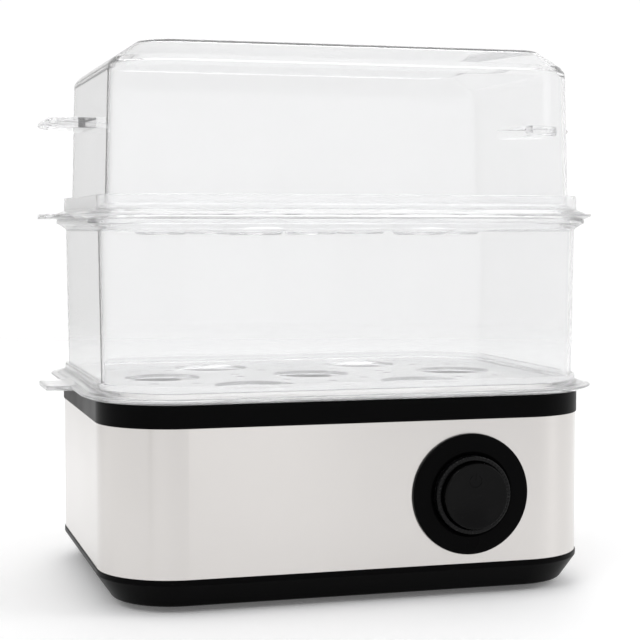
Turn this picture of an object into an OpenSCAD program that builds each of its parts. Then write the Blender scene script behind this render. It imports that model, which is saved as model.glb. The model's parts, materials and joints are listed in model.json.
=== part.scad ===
// Two-tier electric egg cooker: heated base, two clear egg trays, a clear sleeve and a clear lid.
// The origin is on the resting surface, under the middle of the base. +Z is up and -Y is the front.
// "Grow" values are measured outwards from the outline of the base, so -2 is 2 mm inside it.

/* [Base] */
// Width of the base, left to right
base_w = 240; // [225:1:260]
// Depth of the base, front to back
base_d = 186; // [176:1:205]
// Corner radius of the base, seen from above
corner_r = 37; // [34:1:42]
// Height of the rubber feet
foot_h = 3; // [2:0.5:6]
// Height of the black bottom pan
pan_h = 14; // [13:0.5:18]
// Height of the brushed steel wrap
wrap_h = 68.6; // [66:0.2:80]
// Height of the black band above the steel
band_h = 11.1; // [10:0.1:14]
// Thickness of the steel sheet
sheet_t = 0.8; // [0.6:0.1:1]

/* [Clear parts] */
// Height from one tray to the next
tier_pitch = 83.3; // [78:0.1:95]
// Height of the lower tray's rim above its seat
lower_rim_h = 7.8; // [7:0.1:10]
// Height of the upper tray's rim above its seat
upper_rim_h = 11.4; // [8:0.1:14]
// Height of the lid's top above the upper tray's seat
lid_h = 82; // [76:1:95]
// Wall thickness of the lid and the sleeve
wall_t = 1.8; // [1.5:0.1:2.2]
// Reach of the tray tabs and lid handles from the middle of the cooker
tab_reach = 137.6; // [132:0.2:142]

/* [Egg seats] */
// Distance between the egg seats of the middle row
seat_pitch = 78; // [74:1:82]
// Half the distance between the two seats of the front and back rows
seat_half = 42; // [39:1:44]
// Distance from the middle row to the front and back rows
row_pitch = 50; // [48:1:52]
// Radius of a seat at its flat bottom
cup_r = 12; // [11:0.5:14]
// Radius of a seat at the tray floor
seat_r = 19.5; // [18:0.5:20]

/* [Control] */
// Distance of the button from the middle, to the right
control_x = 52.3; // [45:0.1:60]
// Height of the button's middle above the table
control_z = 50.2; // [45:0.1:55]
// Radius of the black bezel
bezel_r = 28.8; // [27:0.1:30]
// Radius of the light ring
ring_r = 18.6; // [17.5:0.1:19]
// Radius of the push button
button_r = 15.75; // [14:0.05:15.75]
// Distance that the button's face stands out from the steel
button_out = 9; // [8:0.5:10]
// Travel of the button
button_travel = 3; // [2:0.5:4]

/* [Heating] */
// Radius of the round water well
well_r = 50; // [44:1:54]
// Depth of the water well
well_depth = 8; // [6:1:9]

/* [Hidden] */
$fn = 96;

black = "#16171a";
clear = [0.93, 0.95, 0.96, 0.35];

// Heights, from the table up
pan_top = foot_h + pan_h;
wrap_top = pan_top + wrap_h;
band_top = wrap_top + band_h;
upper_seat_z = band_top + tier_pitch;
lid_top = upper_seat_z + lid_h;

// Corner centres of the outline
corner_x = base_w / 2 - corner_r;
corner_y = base_d / 2 - corner_r;

// Walls of the base
shell_t = 2.5;
pan_edge = 2.5;
pan_inset = 8;
sheet_grow = -0.5;
sheet_in = sheet_grow - sheet_t;
lip_t = 1.6;
fit_gap = 0.4;
lip_h = 3.5;

// Shelf inside the band that carries the heating plate
band_t = 3.2;
shelf_grow = -18;
shelf_t = 3;
shelf_top = wrap_top - 0.4;
seal_t = 0.8;
plate_z = shelf_top + seal_t;
plate_grow = -4.2;
plate_up = 3;
well_z = plate_z - well_depth;
stud_x = base_w / 2 - 8.4;
stud_y = 30;

// Frame posts and their screws
post_r = 5;
post_in = 22 * cos(45);
post_x = corner_x + post_in;
post_y = corner_y + post_in;
post_z = foot_h + 7;
screw_r = 1.5;
head_r = 3.2;
foot_x = 70;
foot_y = 60;

// Heater stack under the well
spreader_t = 4;
spreader_r = 44;
spreader_z = well_z - spreader_t;
tube_r = 3.3;
coil_r = 34;
coil_z = spreader_z - tube_r;
coil_gap = 40;
leg_end = coil_z - 20;
clamp_t = 1.5;
clamp_z = coil_z - tube_r - clamp_t;
standoff_r = 2.4;

// Control stack; distances are measured outwards from the steel's outer face
face_y = -(base_d / 2 + sheet_grow);
bezel_t = 2;
barrel_in = 14;
barrel_r = 24.6;
ring_gap = 0.3;
ring_out = 5.6;
ring_wall = 2.5;
board_t = 1.6;
carrier_t = 2.4;
carrier_s = barrel_in + board_t;
switch_s = carrier_s + carrier_t;
switch_w = 18;
switch_l = 22;
plunger_r = 3;
plunger_in = 4;
boss_s = 2;
cap_t = 2;
spring_r = 7;
spring_wire = 0.5;
spring_turns = 6;

// Cord entry in the back wall
gland_x = -70;
gland_z = 30;
gland_hole = 3.3;
block_y = 44;
block_pitch = 10;

// Clear trays
floor_z = 2;
floor_top = 4;
rim_out = -1;
rim_in = -2.6;
tab_root = 22;
tab_tip = 16;
tab_t = 2.6;
cup_t = 1.5;
cup_depth = 10;
steam_r = 2;
vents = [[88, 34], [98, 52], [72, 62], [68, 36], [20, 27], [39, 6]];
seats = concat(
    [for (i = [-1:1]) [i * seat_pitch, 0]],
    [for (i = [-1, 1], j = [-1, 1]) [i * seat_half, j * row_pitch]]
);

// ---------- shared shapes ----------

// Outline of the base seen from above, grown by "grow" on every side
module outline(grow = 0) {
    r = corner_r + grow;
    square([2 * corner_x, 2 * (corner_y + r)], center = true);
    square([2 * (corner_x + r), 2 * corner_y], center = true);
    for (x = [-1, 1], y = [-1, 1])
        translate([x * corner_x, y * corner_y]) circle(r);
}

module slab(z0, z1, grow = 0) {
    translate([0, 0, z0]) linear_extrude(z1 - z0) outline(grow);
}

module wall(z0, z1, grow_in, grow_out) {
    translate([0, 0, z0]) linear_extrude(z1 - z0) difference() {
        outline(grow_out);
        outline(grow_in);
    }
}

// Carries a profile round the outline: x of the profile is "grow" and y is the height
module swept() {
    for (i = [0:3]) {
        across = i % 2 == 0 ? corner_x : corner_y;
        along = i % 2 == 0 ? corner_y : corner_x;
        rotate([0, 0, 90 * i]) {
            translate([across, along, 0])
                rotate_extrude(angle = 90) translate([corner_r, 0]) children();
            translate([across, along, 0]) rotate([90, 0, 0])
                linear_extrude(2 * along) translate([corner_r, 0]) children();
        }
    }
}

// Places a child drawn along +Z so that +Z runs out of the front at the button
module at_control() {
    translate([control_x, face_y, control_z]) rotate([90, 0, 0]) children();
}

// A tube between s0 and s1 along the button's axis, measured outwards from the steel
module control_tube(s0, s1, r0, r1) {
    translate([0, 0, s0]) difference() {
        cylinder(h = s1 - s0, r = r1);
        translate([0, 0, -1]) cylinder(h = s1 - s0 + 2, r = r0);
    }
}

// A flat tapered tab on both sides, from "root_x" out to the reach
module side_tabs(z0, t, root_x, root) {
    for (i = [-1, 1])
        translate([0, 0, z0]) linear_extrude(t) polygon([
            [i * root_x, -root], [i * (tab_reach - 1.5), -tab_tip], [i * tab_reach, -tab_tip + 2],
            [i * tab_reach, tab_tip - 2], [i * (tab_reach - 1.5), tab_tip], [i * root_x, root]
        ]);
}

module pan_screw_places() {
    for (x = [-1, 1], y = [-1, 1]) translate([x * post_x, y * post_y, 0]) children();
}

module stud_places() {
    for (x = [-1, 1], y = [-1, 1]) translate([x * stud_x, y * stud_y, 0]) children();
}

module foot_places() {
    for (x = [-1, 1], y = [-1, 1]) translate([x * foot_x, y * foot_y, 0]) children();
}

// ---------- base ----------

module pan_profile() {
    polygon([
        [0, pan_top], [0, pan_top - pan_edge], [-pan_inset, foot_h], [-pan_inset - 2, foot_h],
        [-pan_inset - 2, foot_h + shell_t], [-pan_inset - 1, foot_h + shell_t],
        [-shell_t, pan_top - 1.4], [-shell_t, pan_top]
    ]);
    translate([sheet_in - fit_gap - lip_t, pan_top - 4]) square([lip_t, 4 + lip_h]);
}

module base_pan() {
    color(black) difference() {
        union() {
            swept() pan_profile();
            slab(foot_h, foot_h + shell_t, -pan_inset);
            pan_screw_places() translate([0, 0, foot_h + 2.4]) cylinder(h = 4.6, r = 5.5);
        }
        pan_screw_places() {
            translate([0, 0, foot_h - 1]) cylinder(h = 5, r = 3.6);
            cylinder(h = 20, r = 1.7);
        }
        foot_places() cylinder(h = 20, r = 2.6);
        for (i = [-3:3])
            translate([i * 9, 0, foot_h + shell_t / 2]) cube([3, 46, 10], center = true);
    }
}

module rubber_feet() {
    color("#202124") foot_places() {
        cylinder(h = foot_h, r1 = 7, r2 = 8);
        cylinder(h = foot_h + shell_t, r = 2.5);
        translate([0, 0, foot_h + shell_t]) cylinder(h = 2, r1 = 3.2, r2 = 2);
    }
}

module frame_screws() {
    color("silver") pan_screw_places() {
        translate([0, 0, foot_h + 2]) difference() {
            cylinder(h = 2, r = head_r);
            translate([0, 0, -0.1]) cube([4, 0.9, 1.8], center = true);
            translate([0, 0, -0.1]) cube([0.9, 4, 1.8], center = true);
        }
        translate([0, 0, foot_h + 4]) cylinder(h = 14, r = screw_r);
    }
}

module steel_wrap() {
    color("#e1dedb") difference() {
        wall(pan_top, wrap_top, sheet_in, sheet_grow);
        translate([-0.3, 0, pan_top - 1]) cube([0.6, base_d, wrap_h + 2]);
        at_control() translate([0, 0, -5]) cylinder(h = 10, r = barrel_r + 0.4);
        translate([gland_x, 0, gland_z]) rotate([-90, 0, 0]) cylinder(h = base_d, r = 5.5);
    }
}

module top_frame() {
    color(black) difference() {
        union() {
            wall(wrap_top, band_top, -band_t, 0);
            wall(wrap_top - lip_h, wrap_top + 0.5, sheet_in - fit_gap - lip_t, sheet_in - fit_gap);
            wall(shelf_top - shelf_t, shelf_top, shelf_grow, -band_t + 0.5);
            pan_screw_places()
                translate([0, 0, post_z]) cylinder(h = shelf_top - shelf_t - post_z + 1, r = post_r);
        }
        pan_screw_places() translate([0, 0, post_z - 1]) cylinder(h = 16, r = 1.6);
        stud_places() translate([0, 0, shelf_top - shelf_t - 1]) cylinder(h = 10, r = 1.9);
    }
}

// ---------- heater ----------

module heating_plate() {
    t = sheet_t;
    color("#c9c8c6") {
        difference() {
            union() {
                slab(plate_z, plate_z + t, plate_grow);
                wall(plate_z, plate_z + plate_up, plate_grow - t, plate_grow);
            }
            translate([0, 0, plate_z - 1]) cylinder(h = 10, r = well_r);
        }
        rotate_extrude() {
            translate([0, well_z]) square([well_r, t]);
            translate([well_r, well_z]) square([t, well_depth + t]);
        }
        stud_places() translate([0, 0, plate_z - 8]) cylinder(h = 8, r = 1.6);
    }
}

module plate_seal() {
    color("#8d3b2c") difference() {
        wall(shelf_top, plate_z, -11.5, -5.2);
        stud_places() translate([0, 0, shelf_top - 1]) cylinder(h = 10, r = 1.9);
    }
}

module plate_nuts() {
    color("silver") stud_places() translate([0, 0, shelf_top - shelf_t - 2.4]) difference() {
        cylinder(h = 2.4, r = 3.1, $fn = 6);
        translate([0, 0, -1]) cylinder(h = 5, r = 1.65);
    }
}

module clamp_screw_places() {
    for (x = [-1, 1], r = [coil_r - 7, coil_r + 7]) translate([x * r, 0, clamp_z]) children();
}

module heat_spreader() {
    color("#b9bcc0") difference() {
        union() {
            translate([0, 0, spreader_z]) cylinder(h = spreader_t, r = spreader_r);
            clamp_screw_places()
                translate([0, 0, clamp_t]) cylinder(h = spreader_z - clamp_z, r = standoff_r);
        }
        clamp_screw_places() cylinder(h = spreader_z - clamp_z + 2, r = 1.3);
    }
}

module heating_element() {
    color("#6f6a64") {
        rotate([0, 0, 90 + coil_gap / 2]) translate([0, 0, coil_z])
            rotate_extrude(angle = 360 - coil_gap) translate([coil_r, 0]) circle(tube_r);
        for (i = [-1, 1]) rotate([0, 0, 90 + i * coil_gap / 2]) translate([coil_r, 0, coil_z]) {
            sphere(tube_r);
            translate([0, 0, leg_end - coil_z]) cylinder(h = coil_z - leg_end, r = tube_r);
            translate([0, 0, leg_end - coil_z - 6]) cylinder(h = 7, r = 1.2);
        }
    }
}

module element_clamps() {
    color("#a9abae") difference() {
        for (x = [-1, 1]) translate([x * coil_r, 0, clamp_z + clamp_t / 2])
            cube([22, 9, clamp_t], center = true);
        clamp_screw_places() translate([0, 0, -5]) cylinder(h = 10, r = 1.4);
    }
}

module clamp_screws() {
    color("silver") clamp_screw_places() {
        translate([0, 0, -1.6]) cylinder(h = 1.6, r = 2.4);
        cylinder(h = 7, r = 1.2);
    }
}

module thermostat() {
    color("#d8d2c4") {
        translate([0, 0, spreader_z - 1]) cylinder(h = 1, r = 8.5);
        translate([0, 0, spreader_z - 9]) cylinder(h = 8, r = 7.6);
    }
    color("silver") for (i = [-1, 1])
        translate([i * 4.5, 0, spreader_z - 12]) cube([0.8, 4.8, 6.4], center = true);
}

module thermal_fuse() {
    color("#c8c8c0") translate([-9, -16, spreader_z - 2.2]) rotate([0, 90, 0]) {
        cylinder(h = 18, r = 2.2);
        translate([0, 0, -5]) cylinder(h = 28, r = 0.6);
    }
}

module terminal_block() {
    color("#e8e4d8") difference() {
        translate([gland_x - 16, block_y - 8, foot_h + shell_t]) cube([32, 16, 15]);
        for (i = [-1:1]) translate([gland_x + i * block_pitch, block_y, foot_h + shell_t + 9])
            cylinder(h = 8, r = 2.2);
    }
}

// Moves a ring of points along a run until it meets the plane at "to" that faces "normal"
function carried(ring, along, to, normal) = [
    for (q = ring) q + along * (((to - q) * normal) / (along * normal))
];

function run_dir(points, i) = (points[i + 1] - points[i]) / norm(points[i + 1] - points[i]);

// The mitred rings of a lead, from ring "i" to its last
function lead_rings(points, ring, i = 0) =
    i == len(points) - 1 ? [ring] : let (
        along = run_dir(points, i),
        normal = i == len(points) - 2 ? along : along + run_dir(points, i + 1)
    ) concat([ring], lead_rings(points, carried(ring, along, points[i + 1], normal), i + 1));

// A lead of round wire through a list of points; its first run is upright or along Y
module lead(points, r) {
    sides = 10;
    first = run_dir(points, 0);
    upright = abs(first.z) > 0.5;
    turn = upright ? sign(first.z) : -sign(first.y);
    start = [
        for (k = [0:sides - 1])
            let (a = turn * 360 * k / sides, u = r * cos(a), v = r * sin(a))
            points[0] + (upright ? [u, v, 0] : [u, 0, v])
    ];
    rings = lead_rings(points, start);
    last = (len(points) - 1) * sides;
    faces = concat(
        [[for (k = [0:sides - 1]) k]],
        [for (i = [0:len(points) - 2], k = [0:sides - 1]) [
            i * sides + k, (i + 1) * sides + k,
            (i + 1) * sides + (k + 1) % sides, i * sides + (k + 1) % sides
        ]],
        [[for (k = [sides - 1:-1:0]) last + k]]
    );
    polyhedron([for (ring = rings) for (q = ring) q], faces);
}

module internal_leads() {
    r = 1;
    block_x = [gland_x - block_pitch, gland_x, gland_x + block_pitch];
    well_in = foot_h + shell_t + 9.5;
    leg_x = coil_r * sin(coil_gap / 2);
    leg_y = coil_r * cos(coil_gap / 2);
    pin_z = leg_end - 6.1;
    switch_y = face_y + switch_s + switch_l + 6.3;
    blade_z = spreader_z - 15.3;
    color("#3a5d9c") lead([
        [block_x[0], block_y, well_in], [block_x[0], block_y, 34], [-leg_x, leg_y, 34],
        [-leg_x, leg_y, pin_z]
    ], r);
    color("#7a4a2e") lead([
        [block_x[1], block_y, well_in], [block_x[1], block_y, 26], [0, 0, 26],
        [control_x - 4, -30, 26], [control_x - 4, -38, control_z], [control_x - 4, switch_y, control_z]
    ], r);
    color("#2b2b2e") lead([
        [control_x + 4, switch_y, control_z], [control_x + 4, -38, control_z], [30, -10, 48],
        [4.5, 0, 48], [4.5, 0, blade_z]
    ], r);
    color("#2b2b2e") lead([
        [-4.5, 0, blade_z], [-4.5, 0, 54], [-20, -16, 54], [-20, -16, spreader_z - 2.2],
        [-14.1, -16, spreader_z - 2.2]
    ], r);
    color("#2b2b2e") lead([
        [leg_x, leg_y, pin_z], [leg_x, leg_y, 40], [20, -16, 40], [20, -16, spreader_z - 2.2],
        [14.1, -16, spreader_z - 2.2]
    ], r);
    color("#6f9a3a") lead([
        [block_x[2], block_y, well_in], [block_x[2], block_y, plate_z - 0.1]
    ], r);
}

// ---------- control ----------

module control_bezel() {
    color(black) at_control() difference() {
        union() {
            cylinder(h = bezel_t - 0.6, r = bezel_r);
            translate([0, 0, bezel_t - 0.6]) cylinder(h = 0.6, r1 = bezel_r, r2 = bezel_r - 0.6);
            translate([0, 0, -barrel_in]) cylinder(h = barrel_in, r = barrel_r);
        }
        translate([0, 0, -barrel_in - 1]) cylinder(h = barrel_in + bezel_t + 2, r = ring_r + ring_gap);
        translate([0, 0, -barrel_in - 1]) cylinder(h = 3, r = ring_r + 2);
        for (i = [-1, 1]) translate([i * 21.9, 0, -barrel_in - 1]) cylinder(h = 11, r = 0.9);
    }
}

module light_ring() {
    color("#4a4b4e") at_control() {
        control_tube(-barrel_in, ring_out, ring_r - ring_wall + 0.05, ring_r);
        control_tube(-barrel_in, -barrel_in + 1.8, ring_r - ring_wall + 0.05, ring_r + 1.7);
    }
}

module led_board() {
    color("#2f6b3d") at_control() difference() {
        translate([0, 0, -carrier_s]) cylinder(h = board_t, r = 24);
        translate([0, 0, -carrier_s - 1]) cylinder(h = 5, r = button_r + 0.6);
        for (i = [-1, 1]) translate([i * 21.9, 0, -carrier_s - 1]) cylinder(h = 5, r = 1.2);
    }
}

module switch_carrier() {
    color("#2a2b2e") at_control() difference() {
        union() {
            translate([0, 0, -switch_s]) cylinder(h = carrier_t, r = 27.2);
            control_tube(-carrier_s, -sheet_t, barrel_r + 0.4, 27.2);
        }
        translate([0, 0, -switch_s - 1]) cylinder(h = 6, r = plunger_r + 0.6);
        for (i = [-1, 1]) translate([i * 21.9, 0, -switch_s - 1]) cylinder(h = 6, r = 1.2);
    }
}

module control_screws() {
    color("silver") at_control() for (i = [-1, 1]) translate([i * 21.9, 0, -switch_s]) {
        translate([0, 0, -1.8]) cylinder(h = 1.8, r = 2);
        cylinder(h = 11, r = 0.8);
    }
}

module push_switch() {
    at_control() translate([0, 0, -switch_s]) {
        color("#33353a") difference() {
            translate([-switch_w / 2, -switch_w / 2, -switch_l]) cube([switch_w, switch_w, switch_l]);
            translate([0, 0, -plunger_in - button_travel - 1])
                cylinder(h = plunger_in + button_travel + 2, r = plunger_r + 0.08);
        }
        color("silver") for (i = [-1, 1])
            translate([i * 4, 0, -switch_l - 3]) cube([0.8, 5, 6.4], center = true);
    }
}

module switch_plunger() {
    color("#e9e6dd") at_control() translate([0, 0, -switch_s - plunger_in])
        cylinder(h = switch_s + plunger_in - boss_s, r = plunger_r);
}

// Points round a wire that winds up a coil, ring by ring
function coil_ring(t, len, sides) = [
    for (k = [0:sides - 1])
        let (a = 360 * spring_turns * t, b = 360 * k / sides, r = spring_r + spring_wire * cos(b))
        [r * cos(a), r * sin(a), len * t + spring_wire * sin(b)]
];

module return_spring() {
    sides = 8;
    rings = 120;
    start = spring_wire + 0.05;
    len = carrier_s + button_out - cap_t - 0.6 - 2 * start;
    points = [for (i = [0:rings]) for (p = coil_ring(i / rings, len, sides)) p];
    faces = concat(
        [[for (k = [0:sides - 1]) k]],
        [for (i = [0:rings - 1], k = [0:sides - 1]) [
            i * sides + k, (i + 1) * sides + k,
            (i + 1) * sides + (k + 1) % sides, i * sides + (k + 1) % sides
        ]],
        [[for (k = [sides - 1:-1:0]) rings * sides + k]]
    );
    color("#b8babd") at_control() translate([0, 0, -carrier_s + start]) polyhedron(points, faces);
}

module button_cap() {
    dish_r = 90;
    dish = 1.2;
    edge = 0.8;
    skirt = button_travel + 3;
    color(black) at_control() difference() {
        union() {
            translate([0, 0, -skirt]) cylinder(h = button_out + skirt - edge, r = button_r);
            translate([0, 0, button_out - edge])
                cylinder(h = edge, r1 = button_r, r2 = button_r - edge);
        }
        translate([0, 0, button_out - dish + dish_r]) sphere(dish_r, $fn = 128);
        difference() {
            translate([0, 0, -skirt - 1])
                cylinder(h = button_out - cap_t - 0.6 + skirt + 1, r = button_r - 1.6);
            translate([0, 0, -boss_s]) cylinder(h = button_out, r = 4.2);
        }
    }
}

// ---------- clear parts ----------

module steam_holes() {
    for (s = seats) translate([s.x, s.y, -10]) cylinder(h = 30, r = 4, $fn = 48);
    for (x = [-1, 1], y = [-1, 1], v = vents)
        translate([x * v.x, y * v.y, 0]) cylinder(h = 10, r = steam_r, $fn = 24);
    for (y = [-62, -40, 40, 62]) translate([0, y, 0]) cylinder(h = 10, r = steam_r, $fn = 24);
}

// An egg tray whose flange rests at height 0
module egg_tray(rim_h) {
    difference() {
        union() {
            slab(floor_z, floor_top, rim_in + 0.5);
            swept() {
                polygon([
                    [-6.5, 0], [2.5, 0], [6.5, 1.6], [6.5, 2.6], [3, 3.5], [rim_out, 4.8],
                    [rim_in, 4.8], [rim_in, floor_top], [-6.5, floor_top]
                ]);
                translate([rim_in, floor_z]) square([rim_out - rim_in, rim_h - floor_z]);
            }
            wall(-4, floor_z + 0.5, -6.5, -4.6);
            side_tabs(0, tab_t, base_w / 2 + 1, tab_root);
            for (s = seats) translate([s.x, s.y, floor_top - cup_depth - cup_t])
                cylinder(h = cup_depth + cup_t - 0.5, r1 = cup_r + 0.6, r2 = seat_r + 1.35);
        }
        for (s = seats) translate([s.x, s.y, floor_top - cup_depth])
            cylinder(h = cup_depth * 1.2, r1 = cup_r, r2 = seat_r + (seat_r - cup_r) * 0.2);
        steam_holes();
    }
}

module lower_egg_tray() {
    color(clear) translate([0, 0, band_top]) egg_tray(lower_rim_h);
}

module upper_egg_tray() {
    color(clear) translate([0, 0, upper_seat_z]) egg_tray(upper_rim_h);
}

module middle_sleeve() {
    bottom = band_top + floor_top;
    top = upper_seat_z;
    color(clear) swept() polygon([
        [-2.95, bottom], [-1.9, top - 4.8], [3, top - 2], [3, top],
        [-1.9 - wall_t, top], [-2.95 - wall_t, bottom]
    ]);
}

module lid() {
    bottom = upper_seat_z + floor_top;
    shoulder = lid_top - 12;
    grip_z = upper_seat_z + 44;
    grip_t = 5;
    t = wall_t;
    color(clear) {
        swept() polygon([
            [-3.2, bottom], [-3.2, bottom + 2], [-5.2, bottom + 2.6], [-6.9, shoulder],
            [-7.5, shoulder + 2.4], [-9.4, shoulder + 4.5], [-20, lid_top - 0.8], [-22, lid_top],
            [-22, lid_top - t], [-20.6, lid_top - t - 0.4], [-10.8, shoulder + 3.1],
            [-9.2, shoulder + 1.6], [-6.9 - t, shoulder - 0.6], [-5.2 - t, bottom]
        ]);
        slab(lid_top - t, lid_top, -21.9);
        intersection() {
            side_tabs(grip_z, grip_t, base_w / 2 - 7.4, 25);
            rotate([90, 0, 0]) linear_extrude(60, center = true) for (i = [-1, 1]) polygon([
                [0, grip_z], [i * (tab_reach - 3), grip_z], [i * tab_reach, grip_z + 2],
                [i * tab_reach, grip_z + grip_t - 2], [i * (tab_reach - 2), grip_z + grip_t],
                [0, grip_z + grip_t]
            ]);
        }
    }
}

// ---------- cord entry ----------

module cord_gland() {
    out = button_out;
    back_y = base_d / 2 + sheet_grow;
    color("#1c1d1f") translate([gland_x, back_y, gland_z]) rotate([-90, 0, 0]) difference() {
        union() {
            cylinder(h = 2, r = 8);
            translate([0, 0, -12]) cylinder(h = 12, r = 5.2);
            translate([0, 0, 2]) cylinder(h = out - 2, r1 = 6, r2 = 5);
            translate([0, 0, -sheet_t - 3]) cylinder(h = 3, r = 7.4);
        }
        translate([0, 0, -13]) cylinder(h = out + 14, r = gland_hole);
    }
}

base_pan();
rubber_feet();
frame_screws();
steel_wrap();
top_frame();
heating_plate();
plate_seal();
plate_nuts();
heat_spreader();
heating_element();
element_clamps();
clamp_screws();
thermostat();
thermal_fuse();
terminal_block();
internal_leads();
cord_gland();
control_bezel();
light_ring();
led_board();
switch_carrier();
control_screws();
push_switch();
switch_plunger();
return_spring();
button_cap();
lower_egg_tray();
middle_sleeve();
upper_egg_tray();
lid();
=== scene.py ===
import json
import math

import bmesh
import bpy
from mathutils import Matrix, Vector
from mathutils.geometry import delaunay_2d_cdt

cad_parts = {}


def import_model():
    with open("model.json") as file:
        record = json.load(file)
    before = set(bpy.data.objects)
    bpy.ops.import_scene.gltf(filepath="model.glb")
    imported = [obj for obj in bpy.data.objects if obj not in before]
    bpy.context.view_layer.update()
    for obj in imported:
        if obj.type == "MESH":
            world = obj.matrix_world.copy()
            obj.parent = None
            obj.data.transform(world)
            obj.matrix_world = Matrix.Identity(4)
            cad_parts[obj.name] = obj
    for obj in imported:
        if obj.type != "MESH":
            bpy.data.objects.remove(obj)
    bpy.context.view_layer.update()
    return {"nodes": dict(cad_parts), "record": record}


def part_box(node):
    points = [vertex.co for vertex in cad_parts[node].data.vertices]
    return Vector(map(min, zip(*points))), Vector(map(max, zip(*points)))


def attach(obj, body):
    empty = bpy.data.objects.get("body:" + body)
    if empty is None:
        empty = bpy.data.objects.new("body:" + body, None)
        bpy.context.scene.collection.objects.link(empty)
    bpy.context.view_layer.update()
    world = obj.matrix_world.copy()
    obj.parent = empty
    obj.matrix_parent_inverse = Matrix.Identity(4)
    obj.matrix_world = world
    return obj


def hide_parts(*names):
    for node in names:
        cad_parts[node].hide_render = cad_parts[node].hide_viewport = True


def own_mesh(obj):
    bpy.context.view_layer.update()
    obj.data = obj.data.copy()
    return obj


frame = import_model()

# Outlines and profiles are in millimetres and become metres when a mesh is made.
MM = 0.001
SCENE = bpy.context.scene


def box_mm(node):
    """A CAD node's box as two corners in millimetres."""
    lo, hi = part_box(node)
    return lo / MM, hi / MM


# ---------- sizes from the frame ----------

BAND_LO, BAND_HI = box_mm("top_frame")
HALF_W, HALF_D = BAND_HI.x, BAND_HI.y
CORNER_R = 37.0
CORNER_X, CORNER_Y = HALF_W - CORNER_R, HALF_D - CORNER_R
BAND_TOP = BAND_HI.z
WRAP_LO, WRAP_HI = box_mm("steel_wrap")
SLEEVE_LO, SLEEVE_HI = box_mm("middle_sleeve")
LID_LO, LID_HI = box_mm("lid")
REACH = LID_HI.x
WALL = 1.8
CORNER_STEPS = 26
ARC_STEP = math.radians(14)

# Half lengths of a tray's tab, at its outer edge and where it meets the flange
TAB_TIP, TAB_ROOT = 15.0, 20.5

# Places on a tray: seven egg seats, and steam vents between them
SEAT_PITCH, SEAT_HALF, ROW_PITCH = 78.0, 42.0, 50.0
SEATS = [(i * SEAT_PITCH, 0.0) for i in (-1, 0, 1)]
SEATS += [(i * SEAT_HALF, j * ROW_PITCH) for i in (-1, 1) for j in (-1, 1)]
VENTS = [(88, 34), (98, 52), (72, 62), (68, 36), (20, 27), (39, 6)]
VENTS = [(i * x, j * y) for x, y in VENTS for i in (-1, 1) for j in (-1, 1)]
VENTS += [(0, y) for y in (-62, -40, 40, 62)]


# ---------- mesh tools ----------

def rounded(points, closed=False):
    """A path through (across, up, radius) points, with each corner turned into an arc of its radius."""
    made = []
    count = len(points)
    for i, (x, y, radius) in enumerate(points):
        here = Vector((x, y))
        if radius <= 0 or (not closed and i in (0, count - 1)):
            made.append(here)
            continue
        before = Vector(points[i - 1][:2]) - here
        after = Vector(points[(i + 1) % count][:2]) - here
        half = before.angle(after) / 2
        most = 0.49 * min(before.length, after.length)
        cut = min(radius / math.tan(half), most)
        radius = cut * math.tan(half)
        inward = (before.normalized() + after.normalized()).normalized()
        middle = here + inward * (radius / math.sin(half))
        start = here + before.normalized() * cut - middle
        sweep = math.pi - 2 * half
        steps = max(2, math.ceil(sweep / ARC_STEP))
        side = 1 if before.cross(after) < 0 else -1
        for k in range(steps + 1):
            made.append(middle + Matrix.Rotation(side * sweep * k / steps, 2) @ start)
    return [(p.x, p.y) for p in made]


def tab_reach(y):
    """How far a tray's tab stands out past its flange at y, as a share of the whole."""
    t = min(max((TAB_ROOT - abs(y)) / (TAB_ROOT - TAB_TIP), 0.0), 1.0)
    return t * t * (3 - 2 * t)


def tab_stops():
    """Places along a side where a tray's outline needs points: its middle and the tab's two flanks."""
    flat_end, step = TAB_TIP - 3, 0.6
    return [0.0] + [s * (flat_end + step * k) for k in range(20) for s in (-1, 1)]


def outline_stations(stops=()):
    """Stations round the base's outline: (corner centre, outward direction, y on a side or None)."""
    stations = []
    quarter = math.pi / 2
    centres = [(1, 1), (-1, 1), (-1, -1), (1, -1)]
    for i, (sx, sy) in enumerate(centres):
        if i in (0, 2):
            for y in sorted(stops, reverse=i == 2):
                stations.append((Vector((sx * CORNER_X, y)), Vector((sx, 0)), y))
        for k in range(CORNER_STEPS + 1):
            angle = (i + k / CORNER_STEPS) * quarter
            out = Vector((math.cos(angle), math.sin(angle)))
            stations.append((Vector((sx * CORNER_X, sy * CORNER_Y)), out, None))
    return stations


def ring_of(bm, points):
    """Makes a vertex at each point."""
    return [bm.verts.new(p) for p in points]


def bridge(bm, a, b):
    """Joins two rings of as many vertices with a band of faces."""
    count = len(a)
    for i in range(count):
        j = (i + 1) % count
        bm.faces.new((a[i], a[j], b[j], b[i]))


def carry(bm, profile, stations, reach=0.0):
    """Carries a profile of (grow, z[, share of the tab's reach, drop at the tab]) round the outline."""
    rings = []
    for point in profile:
        grow, z = point[0], point[1]
        share = point[2] if len(point) > 2 else 0.0
        ring = []
        for centre, out, y in stations:
            extra = reach * share * tab_reach(y) if y is not None and share else 0.0
            drop = point[3] * tab_reach(y) if extra else 0.0
            p = centre + out * (CORNER_R + grow + extra)
            ring.append((p.x, p.y, z - drop))
        rings.append(ring_of(bm, ring))
    for a, b in zip(rings, rings[1:]):
        bridge(bm, a, b)
    return rings


def turn(bm, profile, centre=(0.0, 0.0), steps=64):
    """Turns a profile of (radius, z) round an upright axis. Returns the rings."""
    rings = []
    for r, z in profile:
        ring = []
        for k in range(steps):
            a = math.tau * k / steps
            ring.append((centre[0] + r * math.cos(a), centre[1] + r * math.sin(a), z))
        rings.append(ring_of(bm, ring))
    for a, b in zip(rings, rings[1:]):
        bridge(bm, a, b)
    return rings


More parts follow.
